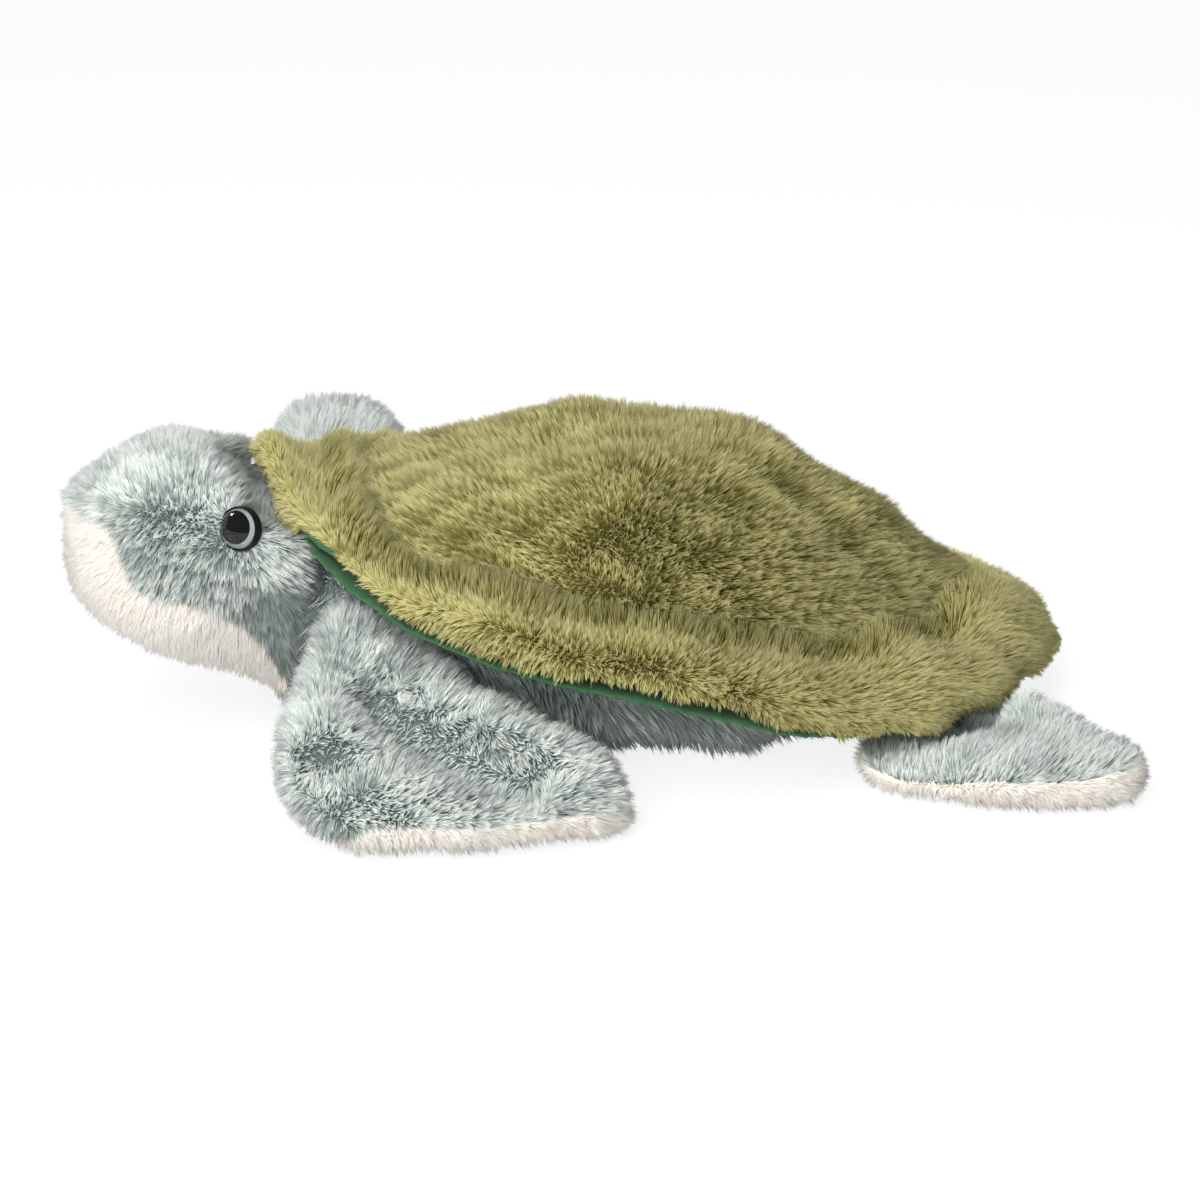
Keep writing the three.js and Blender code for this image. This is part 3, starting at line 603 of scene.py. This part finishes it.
def painted_finish(name, centre, way):
    """A black pupil in a grey ring, by the distance of a point from the eye's axis."""
    material, shader, shade = finish(name, Roughness=0.5, Specular_IOR_Level=0)
    place = shade.node("ShaderNodeTexCoord", output=3)
    off = place.node("ShaderNodeVectorMath", {"operation": "SUBTRACT"}, {0: place, 1: centre})
    side = off.node("ShaderNodeVectorMath", {"operation": "CROSS_PRODUCT"}, {0: off, 1: way})
    far = side.node("ShaderNodeVectorMath", {"operation": "LENGTH"}, {0: side}, output=1)
    grey_ring = ((0.5, (0.003, 0.003, 0.003)), (0.52, (0.34, 0.38, 0.37)))
    ring = far.node("ShaderNodeValToRGB", inputs={0: far * (0.5 / pupil_radius)}, stops=grey_ring)
    feed(shader, "Base Color", ring)
    return material


for side, (front, look) in eyes.items():
    r = eye_radius
    rim_outline = [
        (0, -0.0045), (0.8 * r, -0.0045), (r, -0.003), (r, 0.0003), (0.985 * r, 0.0008), (0.96 * r, 0.0009),
        (0.94 * r, 0.0006), (0.93 * r, -0.0030), (0, -0.0030),
    ]
    rim = turned_about(side + "_eye_rim", front, look, rim_outline, eye_black)
    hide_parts(side + "_eye_shank")
    ring_outline = [(0, -0.0016), (0.9 * r, -0.0016), (0.9 * r, -0.0008), (0, -0.0008)]
    # The pupil is painted a little nearer the nose and higher, so that the ring is widest behind it. This is
    # painted shade: the black stands where the cup's wall shades the ring
    pupil = front - 0.0011 * unit(rearwards - (rearwards @ look) * look) + (0, 0, 0.0004)
    paint = painted_finish(side + "_eye_paint", pupil, look)
    painted = turned_about(side + "_eye_ring", front, look, ring_outline, paint)
    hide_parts(side + "_eye_iris")
    rise = [
        (0.91 * r * math.sin(turn), 0.0002 + 0.0044 * math.cos(turn))
        for turn in np.linspace(math.pi / 2, 0, 16)
    ]
    dome_outline = [(0, -0.0022), (0.91 * r, -0.0022)] + rise
    lens = turned_about(side + "_eye_dome", front, look, dome_outline, eye_clear)
    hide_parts(side + "_eye_lens")
    # The washer is smaller than the CAD's, clear of the fur on the nape
    back = middle_of(side + "_eye_washer")
    stem = unit(front - back)
    washer_outline = [(0, -0.0008), (0.0042, -0.0008), (0.0042, 0.0008), (0, 0.0008)]
    washer = turned_about(side + "_eye_lock", back + 0.002 * stem, stem, washer_outline, washer_white)
    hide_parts(side + "_eye_washer")
    for piece in (rim, painted, lens, washer):
        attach(piece, "head")


# Shell dome. A stuffed cushion of olive fur cloth over the back. Its pile fans out from the top.
olive_pile = pile_finish(
    "olive_pile", (0.07, 0.06, 0.012), (0.29, 0.26, 0.075), (0.76, 0.71, 0.36), deep=(0.10, 0.09, 0.02)
)
olive_cloth = cloth_finish("olive_cloth", (0.11, 0.10, 0.028), (0.18, 0.165, 0.05))
dome_nodes = ("shell_dome_panel", "shell_dome_filling")


rise_x = (-0.09, -0.05, 0, 0.06, 0.09, 0.14)
rise_up = (-0.004, -0.002, 0.0015, 0.0005, -0.002, -0.002)


def dome_shape(points, outward):
    """The cushion is fullest in the middle and slopes a little more to the front than to the rear."""
    rise = np.interp(points[:, 0], rise_x, rise_up)
    return lumps(points, outward) - (rise * np.clip(2 * outward[:, 2], 0, 1))[:, None] * down


def dome_sink(points, outward):
    """Less at the rear foot, where the cushion meets the tail's roll."""
    foot = np.clip((points[:, 0] - 0.11) / 0.02, 0, 1) * np.clip(0.062 - points[:, 2], 0, 0.01) / 0.01
    return 0.0068 - 0.004 * foot


dome_skin, surface, outward = stuffed_skin(
    "dome_skin", dome_nodes, olive_cloth, voxel=0.004, sink=dome_sink, shape=dome_shape
)
dome_top = np.array([0.018, 0, 0])
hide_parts(*dome_nodes)
roots, surface, outward, rng = scatter(dome_skin, surface, outward, 3.3, 31)
open_side = outward[:, 2] > -0.3
roots, outward = roots[open_side], outward[open_side]
from_top = (roots - dome_top) * (1, 1, 0)
lean = 0.5 * unit(from_top) * np.clip(np.linalg.norm(from_top, axis=1, keepdims=True) / 0.05, 0, 1)
dome_pile = coat("dome_pile", roots, outward, lean, olive_pile, rng, length=pile_length, parts=3)
dress([dome_skin] + dome_pile, body="root")


# Shell brim. A stuffed roll of the same fur cloth all round the dome, sewn to it along a deep crease.
# Its pile hangs over the edge, longest at the tail, and green velour turns up over its front edge.
def velour_finish(name, colour):
    material, shader, shade = finish(name, Roughness=0.8, Specular_IOR_Level=0.15, Sheen_Weight=0.08)
    place = shade.node("ShaderNodeTexCoord", output=3)
    nap = place.node("ShaderNodeTexNoise", inputs={"Vector": place, "Scale": 1400, "Detail": 1})
    brushed = place.node("ShaderNodeTexNoise", inputs={"Vector": place, "Scale": 45, "Detail": 3})
    dark = tuple(0.6 * c for c in colour)
    light = tuple(1.35 * c for c in colour)
    feed(shader, "Base Color", (nap * 0.45 + brushed * 0.55).blended(dark, light))
    bump = nap.node("ShaderNodeBump", inputs={"Height": nap, "Strength": 0.3, "Distance": 0.0004})
    feed(shader, "Normal", bump)
    return material


velour = velour_finish("green_velour", (0.04, 0.115, 0.05))
brim_nodes = ("shell_rim_panel", "shell_rim_filling")
# How far the brim sags along the shell
sag_x = (-0.12, -0.09, -0.05, 0, 0.05, 0.08, 0.11, 0.14, 0.16, 0.178)
sag_down = (0, 0.001, 0.004, 0.005, 0.007, 0.005, 0, -0.002, 0, 0.003)
# The brim's lower edge on either side: how far out and how high it is along the shell
edge_x = (-0.133, -0.119, -0.103, -0.082, -0.047, -0.010, 0.030, 0.084, 0.118, 0.151, 0.179)
edge_y = (0, 0.037, 0.065, 0.086, 0.106, 0.117, 0.120, 0.110, 0.092, 0.052, 0)
edge_z = (0.092, 0.089, 0.075, 0.064, 0.053, 0.046, 0.036, 0.020, 0.018, 0.020, 0.020)
# How high the velour comes above that edge
velour_x = (-0.120, -0.117, -0.114, -0.108, -0.103, -0.096, -0.088, -0.075, -0.060, -0.030)
velour_z = (-0.03, -0.005, 0.007, 0.012, 0.011, 0.009, 0.007, 0.004, 0.002, 0)


def sagged(points):
    """The brim droops along its sides and turns up over the crown of the head at its front."""
    drop = np.interp(points[:, 0], sag_x, sag_down)
    drop += 0.004 * np.clip((points[:, 0] - 0.09) / 0.03, 0, 1) * np.clip((points[:, 2] - 0.02) / 0.018, 0, 1)
    lip = np.clip((-0.108 - points[:, 0]) / 0.018, 0, 1) * np.exp(-((points[:, 1] / 0.034) ** 2))
    dip = np.exp(-(((points[:, 0] + 0.09) / 0.022) ** 2) - (points[:, 1] / 0.09) ** 2)
    dip *= np.clip((points[:, 2] - 0.07) / 0.025, 0, 1)
    return (drop - 0.011 * lip + 0.012 * dip)[:, None] * down - 0.002 * lip[:, None] * rearwards


def front_lip(points):
    return np.clip((-0.112 - points[:, 0]) / 0.008, 0, 1)


def brim_shape(points, outward):
    """The tail end is a thick round roll, and so is the front lip."""
    puff = 0.0035 * np.clip((points[:, 0] - 0.11) / 0.06, 0, 1) + 0.002 * front_lip(points)
    over = points[:, 0] - 0.1755
    blunt = (over + np.sqrt(over**2 + 0.006**2)) / 2
    return lumps(points, outward) + sagged(points) + puff[:, None] * outward - blunt[:, None] * rearwards


def velour_share(points, outward):
    """1 on the turned-up velour and 0 above it, changing over 2 mm."""
    height = points[:, 2] - np.interp(points[:, 0], edge_x, edge_z)
    out = np.abs(points[:, 1]) - np.interp(points[:, 0], edge_x, edge_y)
    share = np.clip((np.interp(points[:, 0], velour_x, velour_z) - height) / 0.002, 0, 1)
    share *= (out > -0.014) * (outward[:, 2] < 0.65) * (points[:, 0] < 0.05) * (np.abs(points[:, 1]) > 0.024)
    underside = np.clip(-4 * outward[:, 2] - 1.4, 0, 1) * (points[:, 0] > -0.113) * (points[:, 0] < 0.07)
    return np.maximum(share, underside)


def thin_edge(points, outward):
    """1 at the brim's edge, where the roll is thin and its pile short, more on the lip, and 0 on top."""
    return np.clip(1 - 2.5 * outward[:, 2], 0, 1) * (1 - front_lip(points)) + 1.3 * front_lip(points)


def brim_sink(points, outward):
    """The wall beside the dome stands out instead, to close the crease."""
    inwards = -(outward * unit((points - dome_top) * (1, 1, 0))).sum(1)
    wall = np.clip(inwards * 3 - 0.6, 0, 1) * (points[:, 0] > -0.1) * np.clip(outward[:, 2] * 4 + 1, 0, 1)
    return (0.0066 - 0.0038 * thin_edge(points, outward)) * (1 - wall) - 0.003 * wall


brim_skin, surface, outward = stuffed_skin(
    "brim_skin", brim_nodes, olive_cloth, voxel=0.0035, sink=brim_sink, smoothing=9, shape=brim_shape
)
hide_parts(*brim_nodes)
second_cloth(brim_skin, velour, velour_share(surface, outward) > 0.5)
roots, surface, outward, rng = scatter(brim_skin, surface, outward, 3.4, 33)
open_side = velour_share(surface, outward) < 0.5
roots, surface, outward = roots[open_side], surface[open_side], outward[open_side]
tailwards = np.clip((roots[:, 0] - 0.04) / 0.06, 0, 1)[:, None]
edgewards = np.clip(1 - outward[:, 2:], 0, 1)
lean = 0.4 * unit((roots - dome_top) * (1, 1, 0)) + 0.3 * tailwards * rearwards
lean += (0.1 + 0.1 * (1 - tailwards) * edgewards + 0.15 * tailwards * edgewards) * down
tail_end = np.clip((surface[:, 0] - 0.165) / 0.01, 0, 1)
length = pile_length * (1 - 0.3 * thin_edge(surface, outward)) * (1 - 0.35 * tail_end)
# Painted light: the brim's pile is paler than the dome's, as light on its upturned roll
brim_pile = coat("brim_pile", roots, outward, lean, olive_pile, rng, length, parts=4, shift=-0.45)
dress([brim_skin] + brim_pile, body="root")


# Brim lining. The underside of the brim is smooth green velour, seen below its edge.
def rolled_edge(points, outward):
    """The lining sags with the brim, swells out along its edge at the front and stays hidden by it."""
    out = np.interp(points[:, 0], edge_x, edge_y) - np.abs(points[:, 1])
    swell = 0.001 * np.exp(-((out / 0.012) ** 2)) * np.clip((0.0 - points[:, 0]) / 0.06, 0, 1)
    sideways = np.sign(points[:, 1:2]) * (0, 1.0, 0)
    hidden = 0.004 * np.clip((points[:, 0] - 0.06) / 0.03, 0, 1)
    hidden += 0.001 * np.clip((-0.03 - points[:, 0]) / 0.03, 0, 1)
    return sagged(points) - hidden[:, None] * down + swell[:, None] * (0.6 * sideways + 0.8 * down)


lining, _, _ = stuffed_skin(
    "brim_lining", ["shell_lining"], velour, voxel=0.0018, sink=0, smoothing=12, shape=rolled_edge
)
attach(lining, "root")
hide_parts("shell_lining")


# Flippers. Four flat stuffed pouches, blue-grey above and cream on the sole, each sewn on along a
# seam. The near front one is rumpled, and the near rear one has a shallow valley.
def creased(points, lines):
    """How deep the folds press, and the way out of them in plan. A fold's depth falls off from its line
    by exp of minus the square of the distance over a width."""
    press, aside = np.zeros(len(points)), np.zeros_like(points)
    for depth, width, line in lines:
        starts, runs = np.array(line[:-1]), np.diff(line, axis=0)
        off = points[:, None, :2] - starts
        along = np.clip((off * runs).sum(2) / (runs * runs).sum(1), 0, 1)
        off -= along[:, :, None] * runs
        far = np.linalg.norm(off, axis=2) * (1 + 0.2 * ripple(points, 0.008, 9)[0][:, None])
        nearest = np.take_along_axis(off, far.argmin(1)[:, None, None], 1)[:, 0]
        here = depth * np.exp(-((far.min(1) / width) ** 2))
        press += here
        aside[:, :2] += np.maximum(here, 0)[:, None] * unit(nearest)
    return press, aside


def below(x_places, heights):
    """The cream side of the sole seam: under a height that changes along the flipper."""
    def chosen(points, outward):
        return (points[:, 2] < np.interp(points[:, 0], x_places, heights)) & (outward[:, 2] < 0.45)

    return chosen


seam_x = (0.085, 0.094, 0.107, 0.127, 0.144, 0.165)
seam_y = (-0.08, -0.096, -0.111, -0.12, -0.125, -0.12)


def outer_sole(points, outward):
    """The cream side of the near rear flipper: below its seam on the outer edge, and its underside."""
    edge = np.interp(points[:, 0], seam_x, seam_y)
    low = points[:, 2] < np.interp(points[:, 0], (0.085, 0.10, 0.127, 0.16), (0.017, 0.019, 0.020, 0.0225))
    return low & ((points[:, 1] < edge) & (outward[:, 2] < 0.6) | (outward[:, 2] < -0.3))


def raised_sole(points, outward):
    """The cream side of the far front flipper: under a height that rises outwards."""
    return points[:, 2] < 0.036 + 0.3 * (points[:, 1] - 0.048)


# Lines of the folds in plan, on the near front flipper and then on the near rear one
elbow = (
    (-0.092, -0.099), (-0.087, -0.107), (-0.082, -0.110), (-0.076, -0.113),
    (-0.066, -0.120), (-0.055, -0.127), (-0.044, -0.132),
)
shoulder = ((-0.082, -0.085), (-0.076, -0.098), (-0.069, -0.104))
wrist = ((-0.113, -0.124), (-0.102, -0.124), (-0.093, -0.123))
upper_ridge = ((-0.085, -0.088), (-0.066, -0.108), (-0.040, -0.122), (-0.018, -0.128))
lower_ridge = ((-0.108, -0.112), (-0.090, -0.128), (-0.062, -0.137), (-0.040, -0.141))
hollow = ((0.118, -0.064), (0.128, -0.074), (0.139, -0.083))
outer_ridge = ((0.105, -0.092), (0.125, -0.104), (0.145, -0.112), (0.165, -0.112))
inner_ridge = ((0.148, -0.074), (0.158, -0.083), (0.168, -0.092))
# Depth, width and line of each fold. A ridge has a depth below 0
front_folds = (
    (0.011, 0.007, elbow), (0.004, 0.008, shoulder), (0.005, 0.006, wrist),
    (-0.004, 0.011, upper_ridge), (-0.003, 0.009, lower_ridge),
)
rear_folds = ((0.007, 0.011, hollow), (-0.002, 0.009, outer_ridge), (-0.003, 0.010, inner_ridge))
front_sole = below((-0.122, -0.108, -0.098, -0.03, -0.01), (0.001, 0.006, 0.0135, 0.0145, 0.0125))
limbs = (
    ("front_left", front_sole, front_folds),
    ("front_right", raised_sole, ()),
    ("rear_left", outer_sole, rear_folds),
    ("rear_right", below((0.085, 0.13), (0.015, 0.016)), ()),
)
flipper_sink = 0.0062
hinges = {joint["child"]: joint for joint in frame["joints"]}
for number, (limb, sole, lines) in enumerate(limbs):
    cloth = [f"{limb}_flipper_{part}" for part in ("top_panel", "sole_panel", "filling")]

    def folded(points, outward):
        """Folds, and an upper inner edge that climbs the body's side on the near front flipper."""
        press = creased(points, lines)[0] * np.clip(outward[:, 2] * 2, 0, 1)
        climb = (limb == "front_left") * np.clip((points[:, 1] + 0.094) / 0.02, 0, 1)
        climb = climb * np.clip((points[:, 2] - 0.036) / 0.012, 0, 1)
        climb = climb * np.clip((-0.05 - points[:, 0]) / 0.03, 0, 1)
        return lumps(points, outward) - press[:, None] * outward + climb[:, None] * (0, 0.014, 0.012)

    def pile_depth(points, outward):
        """Less where the pouch is thin: on low tops, and in the near rear flipper's hollow."""
        low_top = np.clip(2 * outward[:, 2], 0, 1) * np.clip(flipper_sink - 0.45 * points[:, 2], 0, 0.006)
        in_hollow = 0.004 * (limb == "rear_left") * np.clip(creased(points, lines)[0] / 0.006, 0, 1)
        return flipper_sink - np.maximum(low_top, in_hollow)

    skin, surface, outward = stuffed_skin(
        limb + "_flipper_skin", cloth, grey_cloth, voxel=0.003, sink=pile_depth, smoothing=6, shape=folded
    )
    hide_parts(*cloth)
    second_cloth(skin, cream_cloth, sole(surface, outward))
    roots, surface, outward, rng = scatter(skin, surface, outward, 3.0, 41 + number)
    hinge = hinges[limb + "_flipper"]
    pin = np.array(hinge["pos_m"])
    out = np.cross(np.array(hinge["axis"]), down)
    bend = (limb + "_flipper", tuple(pin - 0.002 * out), tuple(pin + 0.022 * out))
    heart = (roots.min(0) + roots.max(0)) / 2
    press, aside = creased(surface, lines)
    # Strands lean away from the flipper's middle and root, to the rear, and out of the folds
    lean = 0.12 * unit((roots - heart) * (1, 1, 0.3)) + 0.22 * unit(roots - pin)
    lean += 0.3 * rearwards + 28 * aside
    length = pile_length * (1 - 0.35 * np.clip(press / 0.008, 0, 1))
    bottom = sole(surface, outward)
    top = ~bottom
    # Painted shade: the pile is darker in the folds, and on the near front flipper where it climbs in below
    # the shell's shadow
    folds = 0.3 * np.clip(press / 0.008, 0, 1)
    folds += 0.3 * np.clip((surface[:, 2] - 0.035) / 0.025, 0, 1) * (limb == "front_left")
    top_pile = coat(
        limb + "_flipper_pile", roots[top], outward[top], lean[top], grey_pile, rng, length[top], parts=2,
        shift=folds[top] - 0.22,
    )
    sole_pile = coat(
        limb + "_sole_pile", roots[bottom], outward[bottom], lean[bottom], cream_pile, rng, length[bottom],
        tuft=0.5,
    )
    dress([skin] + top_pile)
    dress(sole_pile)
